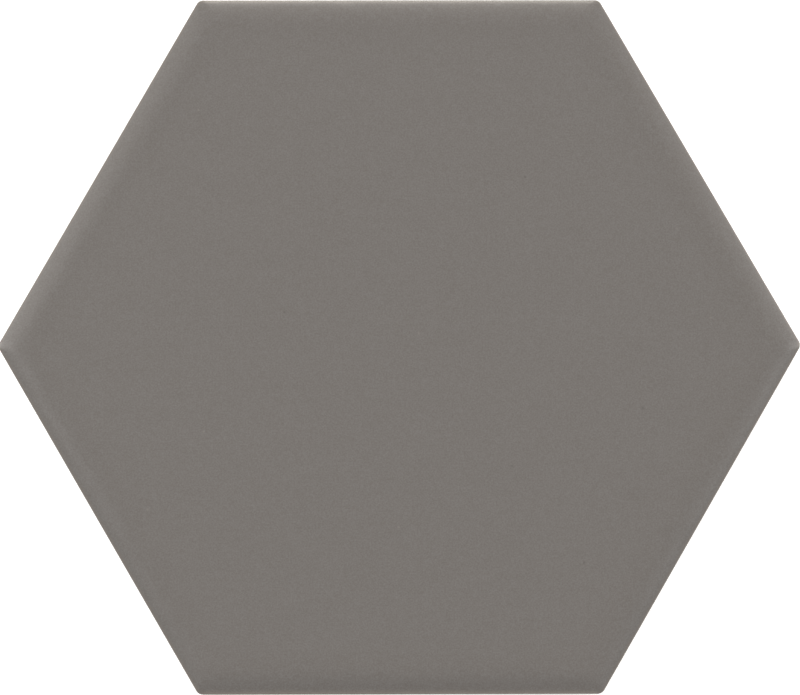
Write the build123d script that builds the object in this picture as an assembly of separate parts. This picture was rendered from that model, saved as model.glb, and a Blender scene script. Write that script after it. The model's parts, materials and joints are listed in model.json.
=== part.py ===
"""Hexagonal porcelain tile with a cushioned face edge and a honeycomb keyed back.

The tile is dry pressed and fired as one piece, so it is one solid. It lies on its back with the
face up: the origin is the centre of the back, +Z points out of the face and +X points at a corner.
From the back up, the section has a bevelled foot, a skirt that leans out with the draft of the die,
an upright land that sets the joint to the next tile, and an edge that rolls over into the flat face.
"""

from build123d import *

import os
from math import radians, sqrt, tan

# Driving dimensions, in millimetres and degrees
SIDES = 6
ACROSS_FLATS = 101.0
THICKNESS = 9.0
CORNER_RADIUS = 1.1

# Face edge: a wide shallow cushion, then a small round arris
CUSHION_WIDTH = 4.6
CUSHION_SLOPE = 29.5
ARRIS_RADIUS = 0.3
FACE_CORNER_RADIUS = 2.2

# Side of the tile, below the arris
LAND_HEIGHT = 3.0
SKIRT_DRAFT = 2.0
FOOT_BEVEL = 0.8

# Keying on the back: rings of hexagonal pockets between ribs, inside a plain rim
POCKET_RINGS = 4
RIB_WIDTH = 2.2
POCKET_DEPTH = 0.7
POCKET_DRAFT = 40.0
RIM_WIDTH = 5.0

# Steps that the cushion is lofted through, and how near in height an edge has to be to count as level
CUSHION_STEPS = 4
LEVEL_TOLERANCE = 0.01

# Worked out from the sizes above
HALF_FLATS = ACROSS_FLATS / 2
CUSHION_DROP = tan(radians(CUSHION_SLOPE)) * CUSHION_WIDTH / 3
LAND_TOP = THICKNESS - CUSHION_DROP
LAND_BOTTOM = LAND_TOP - LAND_HEIGHT

# Cell spacing at which the corners of the outermost row of pockets just reach the rim
ROW_SHARE = sqrt(3) / 2
CORNER_SHARE = 1 / sqrt(3)
POCKET_FIELD = HALF_FLATS - RIM_WIDTH + RIB_WIDTH * CORNER_SHARE
POCKET_PITCH = POCKET_FIELD / (POCKET_RINGS * ROW_SHARE + CORNER_SHARE)


def hexagon(inset, corner_radius):
    """The plan of the tile, moved in from its outline by inset, with rounded corners."""
    plan = RegularPolygon(HALF_FLATS - inset, SIDES, major_radius=False)
    return fillet(plan.vertices(), corner_radius)


def make_cushion():
    """The rolled edge with the flat face on top, lofted through its plans at rising heights.

    The slope dies away with the square of the distance left to the flat, so the drop is a cube.
    """
    sections = []
    for step in range(CUSHION_STEPS + 1):
        share = step / CUSHION_STEPS
        corner_radius = CORNER_RADIUS + (FACE_CORNER_RADIUS - CORNER_RADIUS) * share
        height = THICKNESS - CUSHION_DROP * (1 - share) ** 3
        sections.append(Pos(0, 0, height) * hexagon(CUSHION_WIDTH * share, corner_radius))
    return loft(sections)


def make_side():
    """The upright land, with the drafted skirt and the bevelled foot below it."""
    outline = Pos(0, 0, LAND_BOTTOM) * hexagon(0, CORNER_RADIUS)
    land = extrude(outline, LAND_HEIGHT)
    skirt = extrude(outline, -LAND_BOTTOM, taper=SKIRT_DRAFT)
    foot_edges = skirt.faces().sort_by(Axis.Z)[0].edges()
    return land + chamfer(foot_edges, FOOT_BEVEL)


def round_arris(blank):
    """The blank with the edge between its land and its cushion rounded."""
    lowest = LAND_TOP - LEVEL_TOLERANCE
    highest = LAND_TOP + LEVEL_TOLERANCE
    return fillet(blank.edges().filter_by_position(Axis.Z, lowest, highest), ARRIS_RADIUS)


def pocket_places():
    """Centres of the honeycomb cells, row by row: rings of cells round one in the middle."""
    places = []
    for row in range(-POCKET_RINGS, POCKET_RINGS + 1):
        count = 2 * POCKET_RINGS + 1 - abs(row)
        for place in range(count):
            across = (place - (count - 1) / 2) * POCKET_PITCH
            places.append(Pos(across, row * ROW_SHARE * POCKET_PITCH, 0))
    return places


def make_pockets():
    """The drafted pockets that are pressed into the back between the ribs."""
    half_mouth = (POCKET_PITCH - RIB_WIDTH) / 2
    mouth = RegularPolygon(half_mouth, SIDES, major_radius=False, rotation=180 / SIDES)
    pocket = extrude(mouth, POCKET_DEPTH, taper=POCKET_DRAFT)
    return [place * pocket for place in pocket_places()]


def make_tile():
    """The whole tile as one solid."""
    blank = make_side() + make_cushion()
    return round_arris(blank) - make_pockets()


os.makedirs("parts", exist_ok=True)
tile = make_tile()
export_step(tile, "parts/porcelain_tile.step")
print("volume mm3", round(tile.volume), "size", tile.bounding_box().size)
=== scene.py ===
"""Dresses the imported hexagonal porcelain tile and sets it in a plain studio.

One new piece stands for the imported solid. It has the solid's sizes, apart from rounder corners. Its face
undulates by a few micrometres, as a sprayed glaze does, and the pockets in its back are softened. Sizes
are in metres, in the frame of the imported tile: the centre of its back at the origin, its face up and a
corner on +X.
"""

import json
import logging
import math
from dataclasses import dataclass, field
from enum import Enum

import bpy
import numpy as np
from mathutils import Euler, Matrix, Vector
from mathutils.geometry import delaunay_2d_cdt

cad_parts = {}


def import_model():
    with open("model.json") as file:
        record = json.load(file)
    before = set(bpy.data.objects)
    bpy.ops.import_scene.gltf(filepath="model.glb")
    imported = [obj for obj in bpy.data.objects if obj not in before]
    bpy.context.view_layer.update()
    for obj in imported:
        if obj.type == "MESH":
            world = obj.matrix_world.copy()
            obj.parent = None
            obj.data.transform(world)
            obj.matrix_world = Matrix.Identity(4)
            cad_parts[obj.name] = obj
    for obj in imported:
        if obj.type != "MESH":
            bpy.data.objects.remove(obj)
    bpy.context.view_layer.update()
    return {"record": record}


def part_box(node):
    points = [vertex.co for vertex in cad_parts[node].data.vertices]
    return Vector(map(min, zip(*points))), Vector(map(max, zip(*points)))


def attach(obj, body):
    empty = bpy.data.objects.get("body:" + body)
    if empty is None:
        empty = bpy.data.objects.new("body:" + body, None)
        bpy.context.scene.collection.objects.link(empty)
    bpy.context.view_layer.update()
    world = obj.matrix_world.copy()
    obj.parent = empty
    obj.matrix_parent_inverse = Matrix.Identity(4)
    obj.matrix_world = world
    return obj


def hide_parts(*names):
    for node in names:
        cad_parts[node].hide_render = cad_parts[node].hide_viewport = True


LOG = logging.getLogger("porcelain_tile")
NODE = "porcelain_tile"
BODY = "root"
MM = 1e-3

# Turns and shares of a regular hexagon, and the place of mid-side from a corner
SIDES = 6
CORNER_TURN = math.radians(360 / SIDES)
HALF_TURN = math.radians(180 / SIDES)
ROW_SHARE = math.sqrt(3) / 2
CORNER_SHARE = 1 / math.sqrt(3)
MID_SIDE = 0.5

# Points are one where they round to the same step, and the shift keeps round sizes off the steps' borders
WELD_STEP = 1e-7
WELD_SHIFT = 0.237

# The back is cut into the triangles inside its outline, from points in millimetres
INSIDE_OUTLINE = 1
CUT_TOLERANCE = 1e-6

Colour = tuple[float, float, float]
Span = tuple[float, float]
Socket = bpy.types.NodeSocket
UNIT: Span = (0.0, 1.0)


class Layer(Enum):
    """Point attributes of the tile that its finish reads."""

    GLAZE = "glaze_cover"
    ARRIS = "arris_wear"
    # Painted shade: a ring of darker glaze colour at the foot of the roll, standing in for the sheen
    # falling off there.
    PAINTED_SHADE = "painted_roll_shade"


class LampPlace(Enum):
    """Where a soft box hangs: its azimuth from +X and its angle from straight up, in degrees."""

    LEFT = (168.8, 60.3)
    RIGHT = (11.3, 70.1)
    BACK = (89.8, 70.5)
    FRONT = (270.4, 60.5)
    HIGH_LEFT = (172.5, 34.5)
    HIGH_RIGHT = (359.2, 43.6)


@dataclass(frozen=True)
class Patch:
    """A stretch of surface.

    Attributes:
        points: one row of three coordinates for each point.
        faces: one row of three point numbers for each triangle.
        layers: one row for each point, with a value for each layer of the finish.
    """

    points: np.ndarray
    faces: np.ndarray
    layers: np.ndarray


@dataclass(frozen=True)
class RoundedHexagon:
    """A regular hexagon with round corners. Arrays of sizes give one outline for each.

    Attributes:
        inradius: distance from the centre to each side.
        corner_radius: radius of the corners.
        turn: angle of the first corner from +X, in radians.
        corner_share: share of the way to mid-side, in places, that the half arc of a corner takes.
    """

    inradius: float | np.ndarray
    corner_radius: float | np.ndarray
    turn: float = 0.0
    corner_share: float = 0.09

    def points(self, place: np.ndarray) -> tuple[np.ndarray, np.ndarray]:
        """Points of the outline at places that run from 0 to 6, with a corner at each whole number.

        Near a corner the point lies on the corner's arc, at an angle that grows evenly with the place.
        Further off it lies on the straight side, at a distance from mid-side that shrinks evenly.

        Args:
            place: places round the outline, which broadcast against the sizes.

        Returns:
            The x and the y of each point.
        """
        corner = np.round(place)
        along = place - corner
        heading = self.turn + corner * CORNER_TURN
        core = self.inradius - self.corner_radius
        arc_angle = heading + HALF_TURN * np.clip(along / self.corner_share, -1, 1)
        arc_x = core / math.cos(HALF_TURN) * np.cos(heading) + self.corner_radius * np.cos(arc_angle)
        arc_y = core / math.cos(HALF_TURN) * np.sin(heading) + self.corner_radius * np.sin(arc_angle)
        left = np.clip((MID_SIDE - np.abs(along)) / (MID_SIDE - self.corner_share), 0, 1)
        side = heading + HALF_TURN * np.sign(along)
        reach = -np.sign(along) * core * math.tan(HALF_TURN) * left
        side_x = self.inradius * np.cos(side) - reach * np.sin(side)
        side_y = self.inradius * np.sin(side) + reach * np.cos(side)
        on_arc = np.abs(along) <= self.corner_share
        return np.where(on_arc, arc_x, side_x), np.where(on_arc, arc_y, side_y)


def lattice_ring(first: np.ndarray, second: np.ndarray) -> np.ndarray:
    """The ring round the middle that points of a triangular lattice lie on."""
    return np.maximum(np.maximum(np.abs(first), np.abs(second)), np.abs(first + second))


def lattice_places(first: np.ndarray, second: np.ndarray) -> tuple[np.ndarray, np.ndarray]:
    """The x and the y of lattice points, in steps of the lattice and with its rows along X."""
    return first + second / 2, second * ROW_SHARE


def hexagon_lattice(rings: int) -> tuple[np.ndarray, np.ndarray, np.ndarray]:
    """Points of a triangular lattice within a number of rings round one point.

    Args:
        rings: rings of points round the middle one.

    Returns:
        The two lattice coordinates of each point, and a square table of the points' numbers, -1 outside.
    """
    first, second = np.mgrid[-rings:rings + 1, -rings:rings + 1]
    inside = lattice_ring(first, second) <= rings
    number = np.where(inside, np.cumsum(inside.ravel()).reshape(inside.shape) - 1, -1)
    return first[inside], second[inside], number


def lattice_faces(number: np.ndarray) -> np.ndarray:
    """Triangles of a lattice: the upper and the lower half of each cell whose corners are all inside.

    Args:
        number: square table of the points' numbers, -1 outside.

    Returns:
        One row of three point numbers for each triangle, facing up.
    """
    near, across, beside, far = number[:-1, :-1], number[1:, :-1], number[:-1, 1:], number[1:, 1:]
    lower = np.stack([near, across, beside], -1).reshape(-1, 3)
    upper = np.stack([across, far, beside], -1).reshape(-1, 3)
    faces = np.concatenate([lower, upper])
    return faces[(faces >= 0).all(1)]


def ring_faces(rows: int, columns: int) -> np.ndarray:
    """Triangles between neighbouring closed rings: two for each cell of the grid.

    Args:
        rows: number of rings, from the inner one out.
        columns: points on each ring, counted anticlockwise seen from above.

    Returns:
        One row of three point numbers for each triangle.
    """
    row, column = np.mgrid[0:rows - 1, 0:columns]
    start = row * columns + column
    beside = row * columns + (column + 1) % columns
    first = np.stack([start, start + columns, beside + columns], -1).reshape(-1, 3)
    second = np.stack([start, beside + columns, beside], -1).reshape(-1, 3)
    return np.concatenate([first, second])


def ring_lines(count: int) -> np.ndarray:
    """Lines of a closed ring of points: one row of two point numbers from each point to the next."""
    start = np.arange(count)
    return np.stack([start, np.roll(start, -1)], 1)


def repeated(rows: np.ndarray, copies: int, points: int) -> np.ndarray:
    """Rows of point numbers for copies of the same points that follow one another.

    Args:
        rows: rows of point numbers of the first copy.
        copies: number of copies.
        points: number of points in a copy.

    Returns:
        The rows of all copies.
    """
    steps = np.arange(copies)[:, None, None] * points
    return (rows[None] + steps).reshape(-1, rows.shape[1])


def copies_at(points: np.ndarray, centres: np.ndarray) -> np.ndarray:
    """Copies of the points, moved to each of the centres in turn."""
    return (points[None] + centres[:, None]).reshape(-1, points.shape[1])


def softened_path(corners: np.ndarray, radius: float, steps: int) -> np.ndarray:
    """A path through corners, with a short parabola in place of each inner one.

    Args:
        corners: one row of two coordinates for each corner.
        radius: how far from its corner a parabola starts and ends.
        steps: points on each parabola.

    Returns:
        One row of two coordinates for each point, with the first and last corner kept.
    """
    inner = corners[1:-1]
    before = corners[:-2] - inner
    after = corners[2:] - inner
    start = inner + radius * before / np.linalg.norm(before, axis=1, keepdims=True)
    end = inner + radius * after / np.linalg.norm(after, axis=1, keepdims=True)
    share = np.linspace(0, 1, steps)[None, :, None]
    bend = (1 - share) ** 2 * start[:, None] + 2 * share * (1 - share) * inner[:, None]
    bend = bend + share**2 * end[:, None]
    return np.concatenate([corners[:1], bend.reshape(-1, 2), corners[-1:]])


def smooth_step(value: np.ndarray, span: Span) -> np.ndarray:
    """A ramp from 0 at the low end of a span to 1 at its high end, level at both.

    Args:
        value: values to find the ramp at.
        span: low and high end.

    Returns:
        The ramp at each value.
    """
    low, high = span
    share = np.clip((value - low) / (high - low), 0, 1)
    return share * share * (3 - 2 * share)


def bare_patch(points: np.ndarray, faces: np.ndarray) -> Patch:
    """A patch of the bare body, where every layer of the finish is 0."""
    return Patch(points, faces, np.zeros((len(points), len(Layer))))


def joined(patches: list[Patch]) -> Patch:
    """The patches as one, with the points that lie on each other made one point.

    Args:
        patches: stretches of surface whose edges meet.

    Returns:
        One patch without doubled points and without triangles that have no area.
    """
    starts = np.cumsum([0] + [len(patch.points) for patch in patches[:-1]])
    points = np.concatenate([patch.points for patch in patches])
    faces = np.concatenate([patch.faces + start for patch, start in zip(patches, starts)])
    layers = np.concatenate([patch.layers for patch in patches])
    step = np.round(points / WELD_STEP + WELD_SHIFT)
    _, kept, place = np.unique(step, axis=0, return_index=True, return_inverse=True)
    faces = place.reshape(-1)[faces]
    flat = (faces == np.roll(faces, 1, axis=1)).any(1)
    return Patch(points[kept], faces[~flat], layers[kept])


def area_weighted_normals(patch: Patch) -> np.ndarray:
    """Point normals: the sum of the cross products of the triangles round each point, made unit length.

    Args:
        patch: the surface.

    Returns:
        One row of three coordinates for each point.
    """
    corners = patch.points[patch.faces]
    cross = np.cross(corners[:, 1] - corners[:, 0], corners[:, 2] - corners[:, 0])
    total = np.zeros_like(patch.points)
    np.add.at(total, patch.faces.ravel(), np.repeat(cross, 3, axis=0))
    return total / np.linalg.norm(total, axis=1, keepdims=True)


def placed(name: str, data: bpy.types.ID) -> bpy.types.Object:
    """Adds an object to the scene.

    Args:
        name: its name.
        data: its mesh, lamp or camera.

    Returns:
        The object, at the origin.
    """
    added = bpy.data.objects.new(name, data)
    bpy.context.scene.collection.objects.link(added)
    return added


def opaque(colour: Colour) -> tuple[float, float, float, float]:
    """A colour with full alpha, as colour sockets take it."""
    return (*colour, 1.0)


@dataclass(frozen=True)
class Noise:
    """A procedural noise.

    Attributes:
        size: about how broad its spots are.
        detail: number of its finer octaves.
    """

    size: float
    detail: float


@dataclass
class NodeSheet:
    """A material's node tree, with short ways to add nodes and join them.

    Attributes:
        material: the material, whose nodes are replaced.
        tree: its node tree.
        output: the tree's output node.
    """

    material: bpy.types.Material
    tree: bpy.types.NodeTree = field(init=False)
    output: bpy.types.Node = field(init=False)

    def __post_init__(self) -> None:
        """Empties the tree and adds its output."""
        self.material.use_nodes = True
        self.tree = self.material.node_tree
        self.tree.nodes.clear()
        self.output = self.tree.nodes.new("ShaderNodeOutputMaterial")

    def feed(self, socket: Socket, value: object) -> None:
        """Sets an input, or joins it to another node.

        Args:
            socket: the input.
            value: a constant, or the other node's output.
        """
        if isinstance(value, Socket):
            self.tree.links.new(value, socket)
        else:
            socket.default_value = value

    def add(
        self, kind: str, inputs: dict[str | int, object] | None = None, **settings: object
    ) -> bpy.types.Node:
        """Adds a node.

        Args:
            kind: Blender's name of the node type.
            inputs: a constant, or another node's output, for each input by its name or number.
            settings: properties of the node itself.

        Returns:
            The new node.
        """
        node = self.tree.nodes.new(kind)
        for name, value in settings.items():
            setattr(node, name, value)
        for name, value in (inputs or {}).items():
            self.feed(node.inputs[name], value)
        return node

    def noise(self, where: Socket, noise: Noise) -> Socket:
        """The value of a noise at the given coordinates."""
        inputs = {"Vector": where, "Scale": 1 / noise.size, "Detail": noise.detail}
        return self.add("ShaderNodeTexNoise", inputs).outputs["Fac"]

    def ramp(self, value: Socket, source: Span, target: Span = UNIT) -> Socket:
        """A value carried evenly from the source span onto the target span, and held there.

        Args:
            value: the value.
            source: where it starts and ends.
            target: what it comes out as there.

        Returns:
            The value on the target span.
        """
        names = ("From Min", "From Max", "To Min", "To Max")
        limits = dict(zip(names, (*source, *target)))
        return self.add("ShaderNodeMapRange", {"Value": value, **limits}).outputs["Result"]

    def calculate(self, operation: str, *values: object) -> Socket:
        """The result of one of Blender's math operations on up to three values."""
        return self.add("ShaderNodeMath", dict(enumerate(values)), operation=operation).outputs[0]

    def blend(self, share: Socket, start: object, end: object) -> Socket:
        """A colour between two others.

        Args:
            share: how far it goes from the first to the second, from 0 to 1.
            start: the first colour, as a constant or another node's output.
            end: the second colour.

        Returns:
            The colour.
        """
        node = self.add("ShaderNodeMix", data_type="RGBA")
        inputs = {socket.identifier: socket for socket in node.inputs}
        self.feed(inputs["Factor_Float"], share)
        self.feed(inputs["A_Color"], start)
        self.feed(inputs["B_Color"], end)
        return next(socket for socket in node.outputs if socket.identifier == "Result_Color")

    def layer(self, layer: Layer) -> Socket:
        """The value of one of the tile's point attributes."""
        return self.add("ShaderNodeAttribute", attribute_name=layer.value).outputs["Fac"]

    def surface(self, shader: Socket) -> bpy.types.Material:
        """The material, with the shader joined to its output."""
        self.tree.links.new(shader, self.output.inputs["Surface"])
        return self.material


@dataclass(frozen=True)
class Speck:
    """A blemish fired into the face.

    Attributes:
        place: x and y of its middle.
        radius: how far it reaches.
        strength: how much of the speck's colour shows in its middle.
    """

    place: tuple[float, float]
    radius: float
    strength: float


DARK_SPECKS = (
    Speck((35.2 * MM, -9.2 * MM), 0.38 * MM, 0.42),
    Speck((26.6 * MM, -31.6 * MM), 0.28 * MM, 0.42),
    Speck((18.3 * MM, 24.5 * MM), 0.26 * MM, 0.42),
    Speck((-16.7 * MM, 4.8 * MM), 0.26 * MM, 0.43),
    Speck((16.2 * MM, -17.6 * MM), 0.26 * MM, 0.42),
)
PALE_SPECKS = (
    Speck((-29.2 * MM, 34.3 * MM), 0.24 * MM, 0.30),
    Speck((2.8 * MM, 1.7 * MM), 0.24 * MM, 0.29),
    Speck((40.3 * MM, 16.9 * MM), 0.24 * MM, 0.22),
    Speck((-28.4 * MM, -12.5 * MM), 0.24 * MM, 0.26),
    Speck((-36.5 * MM, -23.8 * MM), 0.24 * MM, 0.29),
    Speck((-0.2 * MM, -26.4 * MM), 0.24 * MM, 0.26),
    Speck((45.1 * MM, 3.9 * MM), 0.24 * MM, 0.30),
)


@dataclass(frozen=True)
class GlazedPorcelain:
    """A matt warm grey glaze over a paler fired body.

    Attributes:
        face_height: height of the face that the specks lie in.
        glaze_dark: colour in the hollows of the glaze's grain.
        glaze_pale: colour on the tips of that grain.
        thin_glaze: colour where the glaze has drawn back from the arris.
        dark_speck: colour of the dark specks in the glaze.
        pale_speck: colour of its pale specks.
        body_dark: colour of the denser grains of the bare pressed body.
        body_pale: colour of its finer powder.
        kiln_wash: colour of the chalky wash on the crests of the back.
        grain: the fine grain of the glaze.
        mottle: the patches that the grain gathers in.
        cloud: the broad faint clouds of the glaze.
        body_grain: the grain of the bare body.
        wash_patch: the patches that the kiln wash is left in.
        wander: the wander of the line that the glaze ends at.
        mottle_share: how much of the mottle is added to the grain's tone.
        cloud_share: how much of the clouds is added to it.
        painted_shade_share: how much the painted shade at the foot of the roll, which stands for the sheen
            falling off there, takes from it.
        tone_span: tones that come out in the dark and in the pale colour of the glaze.
        body_span: values of the body's grain that come out in its two colours.
        crest_span: heights that the kiln wash fades out between.
        wash_span: values of the wash's patches where it is most and least worn.
        wash_cover: how much of the wash is left there.
        wander_span: values of the wander where the line lies lowest and highest.
        wander_reach: how much cover the wander adds or takes there.
        cover_span: cover at which the body is still bare and at which the glaze is whole.
        grain_height: height of the glaze's grain.
        body_grain_height: height of the body's grain.
        glaze_roughness: roughness of the glaze.
        body_roughness: roughness of the bare body.
    """

    face_height: float
    glaze_dark: Colour = (0.1468, 0.1344, 0.1247)
    glaze_pale: Colour = (0.1898, 0.1824, 0.1762)
    thin_glaze: Colour = (0.200, 0.180, 0.162)
    dark_speck: Colour = (0.060, 0.052, 0.045)
    pale_speck: Colour = (0.360, 0.330, 0.300)
    body_dark: Colour = (0.370, 0.325, 0.280)
    body_pale: Colour = (0.465, 0.420, 0.370)
    kiln_wash: Colour = (0.620, 0.600, 0.565)
    grain: Noise = Noise(0.22 * MM, 1.0)
    mottle: Noise = Noise(1.1 * MM, 2.0)
    cloud: Noise = Noise(5.0 * MM, 2.0)
    body_grain: Noise = Noise(0.55 * MM, 3.0)
    wash_patch: Noise = Noise(3.0 * MM, 4.0)
    wander: Noise = Noise(1.6 * MM, 3.0)
    mottle_share: float = 0.17
    cloud_share: float = 0.06
    painted_shade_share: float = 0.035
    tone_span: Span = (0.365, 0.865)
    body_span: Span = (0.3, 0.7)
    crest_span: Span = (0.02 * MM, 0.12 * MM)
    wash_span: Span = (0.42, 0.62)
    wash_cover: Span = (0.10, 0.75)
    wander_span: Span = (0.2, 0.8)
    wander_reach: Span = (-0.25, 0.25)
    cover_span: Span = (0.40, 0.60)
    grain_height: float = 0.0015 * MM
    body_grain_height: float = 0.030 * MM
    glaze_roughness: float = 0.34
    body_roughness: float = 0.78

    def cover(self, sheet: NodeSheet, where: Socket) -> Socket:
        """How much glaze there is, from none to whole, with a ragged line where it ends.

        Args:
            sheet: the material's nodes.
            where: object coordinates.

        Returns:
            The cover, from 0 to 1.
        """
        ragged = sheet.ramp(sheet.noise(where, self.wander), self.wander_span, self.wander_reach)
        cover = sheet.calculate("ADD", sheet.layer(Layer.GLAZE), ragged)
        return sheet.ramp(cover, self.cover_span)

    def specked(self, sheet: NodeSheet, where: Socket, colour: Socket) -> Socket:
        """The glaze colour with its specks, each a spot that fades with the distance to its middle.

        Args:
            sheet: the material's nodes.
            where: object coordinates.
            colour: colour of the glaze.

        Returns:
            The colour with its specks.
        """
        for specks, tone in ((DARK_SPECKS, self.dark_speck), (PALE_SPECKS, self.pale_speck)):
            for speck in specks:
                ends = {0: where, 1: (*speck.place, self.face_height)}
                reach = sheet.add("ShaderNodeVectorMath", ends, operation="DISTANCE").outputs["Value"]
                share = sheet.ramp(reach, (0, speck.radius), (speck.strength, 0))
                colour = sheet.blend(share, colour, opaque(tone))
        return colour

    def glaze_colour(self, sheet: NodeSheet, where: Socket) -> Socket:
        """The glaze: fine grain on faint mottle and clouds, with painted shade in a ring at the foot of the
        roll, paler over the arris, with its specks.

        Args:
            sheet: the material's nodes.
            where: object coordinates.

        Returns:
            The colour.
        """
        tone = sheet.noise(where, self.grain)
        tone = sheet.calculate("MULTIPLY_ADD", sheet.noise(where, self.mottle), self.mottle_share, tone)
        tone = sheet.calculate("MULTIPLY_ADD", sheet.noise(where, self.cloud), self.cloud_share, tone)
        # Painted shade: the tone is lowered in the ring at the foot of the roll, where the sheen falls off.
        tone = sheet.calculate("MULTIPLY_ADD", sheet.layer(Layer.PAINTED_SHADE), -self.painted_shade_share, tone)
        share = sheet.ramp(tone, self.tone_span)
        colour = sheet.blend(share, opaque(self.glaze_dark), opaque(self.glaze_pale))
        colour = sheet.blend(sheet.layer(Layer.ARRIS), colour, opaque(self.thin_glaze))
        return self.specked(sheet, where, colour)

    def body_colour(self, sheet: NodeSheet, where: Socket, grain: Socket) -> Socket:
        """The bare body: pressed powder of two tones, with a worn chalky wash on the crests of the back.

        Args:
            sheet: the material's nodes.
            where: object coordinates.
            grain: grain of the body.

        Returns:
            The colour.
        """
        share = sheet.ramp(grain, self.body_span)
        colour = sheet.blend(share, opaque(self.body_dark), opaque(self.body_pale))
        height = sheet.add("ShaderNodeSeparateXYZ", {0: where}).outputs["Z"]
        crest = sheet.ramp(height, self.crest_span, (1, 0))
        left = sheet.ramp(sheet.noise(where, self.wash_patch), self.wash_span, self.wash_cover)
        return sheet.blend(sheet.calculate("MULTIPLY", crest, left), colour, opaque(self.kiln_wash))

    def relief(self, sheet: NodeSheet, where: Socket, grain: Socket, cover: Socket) -> Socket:
        """The surface's fine relief: the grain of the glaze, and the body's grain where the body is bare.

        Args:
            sheet: the material's nodes.
            where: object coordinates.
            grain: grain of the body.
            cover: how much glaze there is.

        Returns:
            The normals.
        """
        glaze = {"Height": sheet.noise(where, self.grain), "Distance": self.grain_height}
        fine = sheet.add("ShaderNodeBump", glaze).outputs["Normal"]
        depth = sheet.ramp(cover, UNIT, (self.body_grain_height / MM, 0))
        body = {"Height": sheet.calculate("MULTIPLY", grain, depth), "Distance": MM, "Normal": fine}
        return sheet.add("ShaderNodeBump", body).outputs["Normal"]

    def material(self) -> bpy.types.Material:
        """Builds the finish from the tile's own layers and its object coordinates.

        Returns:
            The material.
        """
        sheet = NodeSheet(bpy.data.materials.new("matt_porcelain"))
        where = sheet.add("ShaderNodeTexCoord").outputs["Object"]
        grain = sheet.noise(where, self.body_grain)
        cover = self.cover(sheet, where)
        body = self.body_colour(sheet, where, grain)
        inputs = {
            "Base Color": sheet.blend(cover, body, self.glaze_colour(sheet, where)),
            "Roughness": sheet.ramp(cover, UNIT, (self.body_roughness, self.glaze_roughness)),
            "Normal": self.relief(sheet, where, grain, cover),
        }
        return sheet.surface(sheet.add("ShaderNodeBsdfPrincipled", inputs).outputs["BSDF"])


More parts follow.
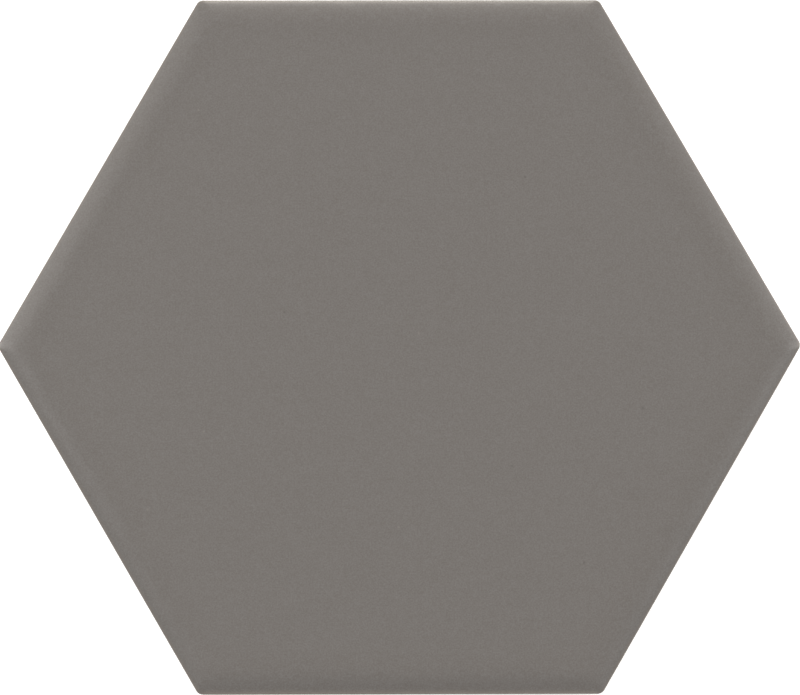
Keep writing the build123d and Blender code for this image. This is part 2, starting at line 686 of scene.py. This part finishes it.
@dataclass
class PorcelainTile:
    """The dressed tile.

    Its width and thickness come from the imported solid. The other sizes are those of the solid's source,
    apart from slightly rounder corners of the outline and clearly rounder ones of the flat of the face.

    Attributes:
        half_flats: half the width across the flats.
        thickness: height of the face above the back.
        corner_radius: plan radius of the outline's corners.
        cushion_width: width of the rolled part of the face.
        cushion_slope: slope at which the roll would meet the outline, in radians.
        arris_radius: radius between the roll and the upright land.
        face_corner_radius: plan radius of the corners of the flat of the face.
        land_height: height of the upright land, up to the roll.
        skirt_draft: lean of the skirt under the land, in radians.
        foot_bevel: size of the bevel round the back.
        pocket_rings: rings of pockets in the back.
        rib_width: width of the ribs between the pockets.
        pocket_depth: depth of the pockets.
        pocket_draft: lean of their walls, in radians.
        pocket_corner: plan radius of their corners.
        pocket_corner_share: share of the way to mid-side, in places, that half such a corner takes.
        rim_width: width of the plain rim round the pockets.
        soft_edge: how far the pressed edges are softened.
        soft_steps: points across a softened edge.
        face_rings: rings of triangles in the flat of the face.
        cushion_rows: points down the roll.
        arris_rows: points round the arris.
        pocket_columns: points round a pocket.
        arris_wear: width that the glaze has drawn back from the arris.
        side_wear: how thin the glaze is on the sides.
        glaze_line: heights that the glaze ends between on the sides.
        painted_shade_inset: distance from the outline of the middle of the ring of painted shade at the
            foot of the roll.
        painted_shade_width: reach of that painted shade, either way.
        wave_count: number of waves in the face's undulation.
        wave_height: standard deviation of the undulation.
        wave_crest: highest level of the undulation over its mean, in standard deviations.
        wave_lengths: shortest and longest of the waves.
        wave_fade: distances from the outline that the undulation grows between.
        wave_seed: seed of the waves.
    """

    half_flats: float
    thickness: float
    corner_radius: float = 1.12 * MM
    cushion_width: float = 4.6 * MM
    cushion_slope: float = math.radians(29.5)
    arris_radius: float = 0.3 * MM
    face_corner_radius: float = 4.5 * MM
    land_height: float = 3.0 * MM
    skirt_draft: float = math.radians(2)
    foot_bevel: float = 0.8 * MM
    pocket_rings: int = 4
    rib_width: float = 2.2 * MM
    pocket_depth: float = 0.7 * MM
    pocket_draft: float = math.radians(40)
    pocket_corner: float = 0.8 * MM
    pocket_corner_share: float = 0.25
    rim_width: float = 5.0 * MM
    soft_edge: float = 0.2 * MM
    soft_steps: int = 5
    face_rings: int = 72
    cushion_rows: int = 22
    arris_rows: int = 9
    pocket_columns: int = 24
    arris_wear: float = 0.30 * MM
    side_wear: float = 0.6
    glaze_line: Span = (0.5 * MM, 4.5 * MM)
    painted_shade_inset: float = 4.1 * MM
    painted_shade_width: float = 1.8 * MM
    wave_count: int = 36
    wave_height: float = 0.007 * MM
    wave_crest: float = 3.0
    wave_lengths: Span = (2.5 * MM, 11.0 * MM)
    wave_fade: Span = (0.2 * MM, 1.2 * MM)
    wave_seed: int = 7

    @classmethod
    def from_frame(cls) -> "PorcelainTile":
        """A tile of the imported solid's width and thickness."""
        low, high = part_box(NODE)
        return cls(half_flats=(high.y - low.y) / 2, thickness=high.z - low.z)

    @property
    def places(self) -> np.ndarray:
        """Places round the outline that every ring of the edge has its points at."""
        return np.arange(SIDES * self.face_rings) / self.face_rings

    @property
    def cushion_drop(self) -> float:
        """How far the roll would drop at the outline: a third of its width times its steepest slope."""
        return math.tan(self.cushion_slope) * self.cushion_width / 3

    @property
    def soft_margin(self) -> float:
        """Width of the level strip beside a softened edge of the back."""
        return 2 * self.soft_edge

    @property
    def pocket_pitch(self) -> float:
        """Spacing of the pockets, at which the corners of the outermost row just reach the rim."""
        reach = self.half_flats - self.rim_width + self.rib_width * CORNER_SHARE
        return reach / (self.pocket_rings * ROW_SHARE + CORNER_SHARE)

    def undulation(self, x: np.ndarray, y: np.ndarray) -> np.ndarray:
        """How far the glaze dips below its highest level at points of the face.

        The dip is a sum of cosine waves with seeded headings, phases and lengths. The sum is scaled to a
        standard deviation of wave_height and lowered by wave_crest of those, and held at the highest level.

        Args:
            x: first coordinate of the points.
            y: second coordinate of the points.

        Returns:
            The dip at each point.
        """
        draw = np.random.default_rng(self.wave_seed)
        heading = draw.uniform(0, math.tau, self.wave_count)
        phase = draw.uniform(0, math.tau, self.wave_count)
        shortest, longest = self.wave_lengths
        length = shortest * (longest / shortest) ** draw.uniform(0, 1, self.wave_count)
        travel = x[:, None] * np.cos(heading) + y[:, None] * np.sin(heading)
        waves = np.cos(travel * math.tau / length + phase).sum(1) * math.sqrt(2 / self.wave_count)
        return self.wave_height * np.maximum(self.wave_crest + waves, 0)

    def painted_shade_ring(self, inset: np.ndarray) -> np.ndarray:
        """How much painted shade lies at the foot of the roll, standing for its sheen falling off there: a
        bell of the distance from the outline.
        """
        return np.exp(-(((inset - self.painted_shade_inset) / self.painted_shade_width) ** 2))

    def face(self) -> Patch:
        """The flat of the face: a triangular lattice whose rings are shrunken copies of the flat's outline.

        Each lattice point keeps its ring, and its share of the way from one corner to the next is its place
        on that ring.

        Returns:
            The patch, facing up.
        """
        first, second, number = hexagon_lattice(self.face_rings)
        ring = lattice_ring(first, second)
        x, y = lattice_places(first, second)
        sector = np.floor(np.mod(np.arctan2(y, x), math.tau) / CORNER_TURN)
        turn = -sector * CORNER_TURN
        across = x * np.sin(turn) + y * np.cos(turn)
        place = sector + across / (np.maximum(ring, 1) * ROW_SHARE)
        outline = RoundedHexagon(self.half_flats - self.cushion_width, self.face_corner_radius)
        edge_x, edge_y = outline.points(place)
        share = ring / self.face_rings
        x, y = edge_x * share, edge_y * share
        points = np.stack([x, y, self.thickness - self.undulation(x, y)], 1)
        inset = self.cushion_width + (1 - share) * (self.half_flats - self.cushion_width)
        # The third layer is the ring of painted shade at the foot of the roll.
        layers = np.stack([np.ones_like(x), np.zeros_like(x), self.painted_shade_ring(inset)], 1)
        return Patch(points, lattice_faces(number), layers)

    def rolled_path(self) -> np.ndarray:
        """Section of the roll and the arris, from the flat of the face out to the land.

        The roll's slope dies away with the square of the distance left to the flat, so its drop is a cube.
        The arris is an arc that leaves the roll at the roll's own slope and ends upright.

        Returns:
            One row of inset and height for each point.
        """
        first_guess = self.arris_radius * (1 - math.sin(self.cushion_slope))
        steepest = math.tan(self.cushion_slope)
        slope = math.atan(steepest * (1 - first_guess / self.cushion_width) ** 2)
        meeting = self.arris_radius * (1 - math.sin(slope))
        inset = np.linspace(self.cushion_width, meeting, self.cushion_rows)
        height = self.thickness - self.cushion_drop * (1 - inset / self.cushion_width) ** 3
        angle = np.linspace(slope, math.radians(90), self.arris_rows)[1:]
        arc_inset = self.arris_radius * (1 - np.sin(angle))
        arc_height = height[-1] + self.arris_radius * (np.cos(angle) - math.cos(slope))
        roll = np.stack([inset, height], 1)
        return np.concatenate([roll, np.stack([arc_inset, arc_height], 1)])

    def side_path(self, top: float) -> np.ndarray:
        """Section of the land, the skirt, the bevelled foot and the start of the back.

        Args:
            top: height at which the land starts.

        Returns:
            One row of inset and height for each point, from the top down.
        """
        land_bottom = self.thickness - self.cushion_drop - self.land_height
        foot = math.tan(self.skirt_draft) * land_bottom
        bevel_top = self.foot_bevel * math.cos(self.skirt_draft)
        bevel_inset = foot - self.foot_bevel * math.sin(self.skirt_draft)
        corners = [(0, top), (0, land_bottom), (bevel_inset, bevel_top), (foot + self.foot_bevel, 0)]
        corners.append((foot + self.foot_bevel + self.soft_margin, 0))
        return softened_path(np.array(corners), self.soft_edge, self.soft_steps)[1:]

    def edge(self) -> Patch:
        """The rolled edge, the sides and the foot: the section's path carried round the outline.

        On the roll the plan radius of the corners grows with the inset, up to the flat of the face. Below
        the arris it shrinks with the inset. The undulation of the face fades out towards the arris.

        Returns:
            The patch, in rings from the flat of the face down to the level of the back.
        """
        rolled = self.rolled_path()
        path = np.concatenate([rolled, self.side_path(rolled[-1, 1])])
        is_roll = np.arange(len(path))[:, None] < len(rolled)
        inset, height = path[:, :1], path[:, 1:]
        growth = (self.face_corner_radius - self.corner_radius) * inset / self.cushion_width
        shrunken = np.maximum(self.corner_radius - inset, self.soft_edge)
        corner = np.where(is_roll, self.corner_radius + growth, shrunken)
        x, y = RoundedHexagon(self.half_flats - inset, corner).points(self.places[None])
        fade = np.where(is_roll, smooth_step(inset, self.wave_fade), 0)
        dip = self.undulation(x.ravel(), y.ravel()).reshape(x.shape) * fade
        points = np.stack([x, y, height - dip], -1).reshape(-1, 3)
        glaze = np.where(is_roll, 1.0, smooth_step(height, self.glaze_line))
        arris = np.where(is_roll, np.exp(-((inset / self.arris_wear) ** 2)), self.side_wear)
        # Painted shade: the darker ring at the foot of the roll, where the sheen falls off.
        shade_ring = np.where(is_roll, self.painted_shade_ring(inset), 0)
        layers = np.stack([np.broadcast_to(layer, x.shape) for layer in (glaze, arris, shade_ring)], -1)
        return Patch(points, ring_faces(*x.shape), layers.reshape(len(points), -1))

    def pocket_centres(self) -> np.ndarray:
        """Centres of the pockets, on a triangular lattice with rows along X."""
        first, second, _ = hexagon_lattice(self.pocket_rings)
        return self.pocket_pitch * np.stack(lattice_places(first, second), 1)

    def pocket_grid(self) -> np.ndarray:
        """One pocket about the origin: its softened section carried round a hexagon with a corner on +Y.

        Returns:
            A grid of points, in rows from outside the mouth to the middle of the floor.
        """
        half_mouth = (self.pocket_pitch - self.rib_width) / 2
        lean = math.tan(self.pocket_draft) * self.pocket_depth
        mouth = [(-self.soft_margin, 0), (0, 0)]
        floor = [(lean, self.pocket_depth), (half_mouth, self.pocket_depth)]
        path = softened_path(np.array(mouth + floor), self.soft_edge, self.soft_steps)
        inset, depth = path[:, :1], path[:, 1:]
        corner = np.minimum(self.pocket_corner, half_mouth - inset)
        outline = RoundedHexagon(half_mouth - inset, corner, HALF_TURN, self.pocket_corner_share)
        place = np.arange(self.pocket_columns) * SIDES / self.pocket_columns
        x, y = outline.points(place[None])
        return np.stack([x, y, np.broadcast_to(depth, x.shape)], -1)

    def pockets(self) -> Patch:
        """All pockets: the one pocket's grid moved to every centre.

        Returns:
            The patch, facing down.
        """
        grid = self.pocket_grid()
        one = grid.reshape(-1, 3)
        centres = self.pocket_centres()
        level = np.column_stack([centres, np.zeros(len(centres))])
        faces = repeated(ring_faces(*grid.shape[:2]), len(centres), len(one))
        return bare_patch(copies_at(one, level), faces)

    def back(self, rim: np.ndarray) -> Patch:
        """The level of the back: the area between its rim and the mouths of the pockets, in triangles.

        The cut gives each of its points the numbers of the given points that it stands for, and the place
        of the first is taken. Triangles with all corners on the mouth of one pocket are left open.

        Args:
            rim: x and y of the points that the edge ends at.

        Returns:
            The patch, facing down.
        """
        centres = self.pocket_centres()
        mouth = self.pocket_grid()[0, :, :2]
        given = np.concatenate([rim, copies_at(mouth, centres)])
        mouth_lines = repeated(ring_lines(len(mouth)), len(centres), len(mouth))
        lines = np.concatenate([ring_lines(len(rim)), len(rim) + mouth_lines])
        places = (given / MM).tolist()
        cut = delaunay_2d_cdt(places, lines.tolist(), [], INSIDE_OUTLINE, CUT_TOLERANCE)
        _, _, triangles, origins, *_ = cut
        faces = np.array(triangles)[:, ::-1]
        origin = np.array([numbers[0] for numbers in origins])
        pocket = ((origin - len(rim)) // len(mouth))[faces]
        is_open = (pocket >= 0).all(1) & (pocket == pocket[:, :1]).all(1)
        level = np.column_stack([given[origin], np.zeros(len(origin))])
        return bare_patch(level, faces[~is_open])

    def build(self) -> bpy.types.Object:
        """Makes the tile's mesh from its patches.

        Returns:
            The tile's object, at the origin.
        """
        edge = self.edge()
        rim = edge.points[-len(self.places):, :2]
        whole = joined([self.face(), edge, self.back(rim), self.pockets()])
        mesh = bpy.data.meshes.new("tile")
        mesh.from_pydata(whole.points.tolist(), [], whole.faces.tolist())
        for layer, values in zip(Layer, whole.layers.T):
            attribute = mesh.attributes.new(layer.value, "FLOAT", "POINT")
            attribute.data.foreach_set("value", np.ascontiguousarray(values, dtype=np.float32))
        mesh.shade_smooth()
        mesh.normals_split_custom_set_from_vertices(area_weighted_normals(whole).tolist())
        return placed("tile", mesh)

    def dress(self, piece: bpy.types.Object, finish: GlazedPorcelain, slot: str) -> None:
        """Gives the tile its finish, sets it on its body and puts it in the solid's place.

        Args:
            piece: the tile's object.
            finish: what the tile is glazed with.
            slot: the record's name of its material slot; not used.
        """
        piece.data.materials.append(finish.material())
        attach(piece, BODY)
        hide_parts(NODE)


@dataclass
class StudioFloor:
    """A plain white floor that the tile lies on.

    Attributes:
        half_size: half the floor's width.
        colour: colour that the floor throws back on the tile.
        lift: light that the floor adds of its own where it is seen, to come out white around the shadow.
    """

    half_size: float = 8.0
    colour: Colour = (0.80, 0.80, 0.80)
    lift: float = 0.62

    def material(self) -> bpy.types.Material:
        """White that keeps the shadow, with a lift for the camera, for gloss and for what is seen through.

        Returns:
            The material.
        """
        sheet = NodeSheet(bpy.data.materials.new("white_floor"))
        path = sheet.add("ShaderNodeLightPath").outputs
        seen = sheet.calculate("MAXIMUM", path["Is Camera Ray"], path["Is Glossy Ray"])
        seen = sheet.calculate("MAXIMUM", seen, path["Is Transmission Ray"])
        strength = sheet.ramp(seen, UNIT, (0, self.lift))
        diffuse = sheet.add("ShaderNodeBsdfDiffuse", {"Color": opaque(self.colour)})
        glow = sheet.add("ShaderNodeEmission", {"Strength": strength})
        both = sheet.add("ShaderNodeAddShader", {0: diffuse.outputs[0], 1: glow.outputs[0]})
        return sheet.surface(both.outputs[0])

    def build(self) -> bpy.types.Object:
        """Makes the floor, level with the tile's back.

        Returns:
            The floor's object.
        """
        signs = np.array([(-1, -1, 0), (1, -1, 0), (1, 1, 0), (-1, 1, 0)])
        mesh = bpy.data.meshes.new("floor")
        mesh.from_pydata((signs * self.half_size).tolist(), [], [(0, 1, 2, 3)])
        mesh.materials.append(self.material())
        floor = placed("floor", mesh)
        return floor


@dataclass(frozen=True)
class SoftBox:
    """A square soft light that faces the tile.

    Attributes:
        place: where it hangs.
        size: its width.
        distance: how far it hangs from the tile.
        radiance: how bright its face is, where a white card in full light is 1.
        tint: colour of its light.
    """

    place: LampPlace
    size: float
    distance: float
    radiance: float
    tint: Colour

    def build(self) -> bpy.types.Object:
        """Makes the lamp and turns it to the tile. Its power is pi times its area and its radiance.

        Returns:
            The lamp's object.
        """
        azimuth, zenith = (math.radians(angle) for angle in self.place.value)
        level = math.sin(zenith)
        towards = Vector((level * math.cos(azimuth), level * math.sin(azimuth), math.cos(zenith)))
        data = bpy.data.lights.new(f"soft_box_{self.place.name.lower()}", "AREA")
        data.shape = "SQUARE"
        data.size = self.size
        data.color = self.tint
        data.energy = math.pi * self.size**2 * self.radiance
        lamp = placed(data.name, data)
        lamp.location = towards * self.distance
        lamp.rotation_euler = (-towards).to_track_quat("-Z", "Y").to_euler()
        lamp.visible_camera = False
        return lamp


@dataclass(frozen=True)
class Surround:
    """The even light of the room, in front of a white backdrop.

    Attributes:
        colour: colour of the light.
        strength: how bright the room is for the tile and the floor.
        backdrop: how bright it is where the camera sees it.
    """

    colour: Colour = (1.0, 1.0, 1.0)
    strength: float = 0.295
    backdrop: float = 1.0

    def build(self) -> None:
        """Makes the world, with its strength set apart for what the camera sees."""
        world = bpy.data.worlds.new("surround")
        world.use_nodes = True
        tree = world.node_tree
        back = next(node for node in tree.nodes if node.type == "BACKGROUND")
        back.inputs["Color"].default_value = opaque(self.colour)
        path = tree.nodes.new("ShaderNodeLightPath")
        level = tree.nodes.new("ShaderNodeMapRange")
        level.inputs["To Min"].default_value = self.strength
        level.inputs["To Max"].default_value = self.backdrop
        tree.links.new(path.outputs["Is Camera Ray"], level.inputs["Value"])
        tree.links.new(level.outputs["Result"], back.inputs["Strength"])
        bpy.context.scene.world = world


@dataclass(frozen=True)
class OverheadCamera:
    """A long lens almost straight above the tile, a little to its front.

    Attributes:
        location: where the camera is.
        turn: its turn about X, Y and Z, in degrees.
        lens: focal length in millimetres, for a sensor as wide as the picture.
        sensor: width of the sensor in millimetres.
    """

    location: tuple[float, float, float] = (-0.00786, -0.0600, 0.8)
    turn: tuple[float, float, float] = (4.3132, -0.5630, -0.1289)
    lens: float = 246.32
    sensor: float = 36.0

    def build(self) -> bpy.types.Object:
        """Makes the camera and gives it to the scene.

        Returns:
            The camera's object.
        """
        data = bpy.data.cameras.new("overhead")
        data.lens = self.lens
        data.sensor_width = self.sensor
        camera = placed("overhead", data)
        camera.location = self.location
        camera.rotation_euler = Euler([math.radians(angle) for angle in self.turn])
        bpy.context.scene.camera = camera
        return camera


SOFT_BOXES = (
    SoftBox(LampPlace.LEFT, size=0.4, distance=1.0, radiance=9.5, tint=(1.02, 1.0, 0.975)),
    SoftBox(LampPlace.RIGHT, size=0.5, distance=1.0, radiance=5.95, tint=(1.015, 1.0, 0.985)),
    SoftBox(LampPlace.BACK, size=0.6, distance=1.6, radiance=12.0, tint=(1.065, 1.0, 0.92)),
    SoftBox(LampPlace.FRONT, size=0.6, distance=1.6, radiance=2.1, tint=(1.16, 1.0, 0.82)),
    SoftBox(LampPlace.HIGH_LEFT, size=0.5, distance=1.3, radiance=2.9, tint=(1.03, 1.0, 0.97)),
    SoftBox(LampPlace.HIGH_RIGHT, size=0.4, distance=1.3, radiance=4.6, tint=(1.03, 1.0, 0.97)),
)


def main() -> None:
    """Builds the tile, then the studio round it."""
    logging.basicConfig(level=logging.INFO, format="%(name)s: %(message)s")
    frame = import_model()
    slot = frame["record"]["materials"][0]["slot"]
    tile = PorcelainTile.from_frame()
    piece = tile.build()
    tile.dress(piece, GlazedPorcelain(tile.thickness), slot)
    LOG.info("tile: %d triangles", len(piece.data.polygons))
    LOG.info("floor: %s", StudioFloor().build().name)
    for soft_box in SOFT_BOXES:
        LOG.info("lamp: %s", soft_box.build().name)
    Surround().build()
    LOG.info("camera: %s", OverheadCamera().build().name)
    bpy.context.scene.view_settings.view_transform = "Standard"


if __name__ == "__main__":
    main()
